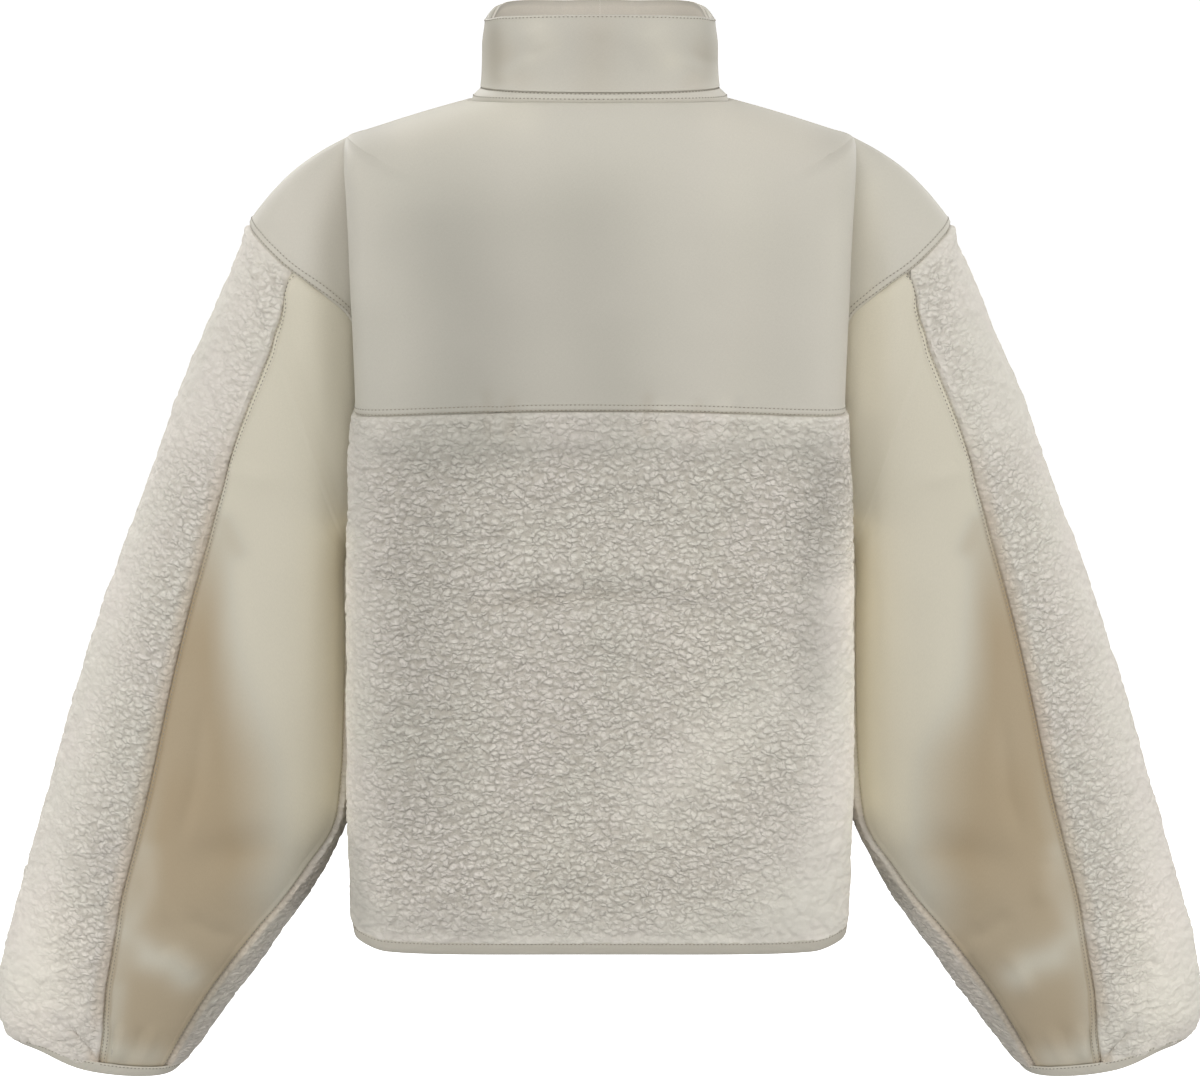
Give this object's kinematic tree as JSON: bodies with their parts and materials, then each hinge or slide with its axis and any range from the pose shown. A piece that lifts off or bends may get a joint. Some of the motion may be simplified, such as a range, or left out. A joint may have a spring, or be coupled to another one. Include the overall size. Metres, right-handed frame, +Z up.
{
  "type": "fleece jacket",
  "caption": "Cropped zip-front fleece jacket in a worn shape with no wearer: smooth yoke, collar and sleeve backs, curly pile body and sleeve fronts, bound hem and cuffs.",
  "frame": {"origin": "middle of the neck opening, level with the neck seam at the centre back", "axes": "+Z up, the front of the jacket faces -Y, the wearer's left is +X"},
  "size_m": [0.887, 0.235, 0.781],
  "materials": {
    "pile": "matt curly pile",
    "smooth": "matt brushed knit",
    "facing": "matt knit",
    "binding": "matt ribbed stretch tape",
    "tape": "matt woven tape",
    "metal": "satin"
  },
  "bodies": {
    "jacket": {"yoke": "smooth", "back_panel": "pile", "front_panel_left": "pile", "front_panel_right": "pile", "sleeve_left_back": "smooth", "sleeve_right_back": "smooth", "sleeve_left_front": "pile", "sleeve_right_front": "pile", "cuff_left": "binding", "cuff_right": "binding", "hem_binding": "binding", "neck_band": "smooth", "collar": "smooth", "collar_facing": "facing", "zip_tape_left": "tape", "zip_tape_right": "tape", "zip_slider": "metal"},
    "pull": {"zip_pull": "metal"}
  },
  "joints": [
    {"name": "pull_swing", "type": "hinge", "parent": "jacket", "child": "pull", "pos_m": [0, -0.0886, 0.038], "axis": [-1, 0, 0], "range_deg": [0, 150]}
  ]
}
